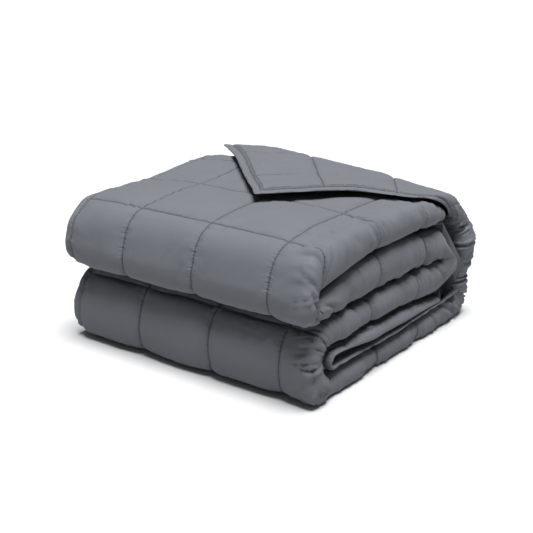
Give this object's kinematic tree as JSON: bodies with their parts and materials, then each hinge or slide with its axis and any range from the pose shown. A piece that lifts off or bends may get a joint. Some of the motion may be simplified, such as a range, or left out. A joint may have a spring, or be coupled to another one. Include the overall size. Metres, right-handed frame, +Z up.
{
  "type": "folded weighted blanket",
  "caption": "Square-quilted weighted blanket folded into a low square pile, with rolled front folds and one loose corner turned over the top.",
  "frame": {"origin": "on the surface it lies on, under the middle of the pile's bounding box", "axes": "+X along the front rolls to the folded end, +Y from the front rolls to the back, +Z up through the layers"},
  "size_m": [0.4336, 0.4528, 0.2312],
  "materials": {
    "cloth": "matt, fine plain-woven cotton"
  },
  "bodies": {
    "root": {"blanket": "cloth"}
  },
  "joints": []
}
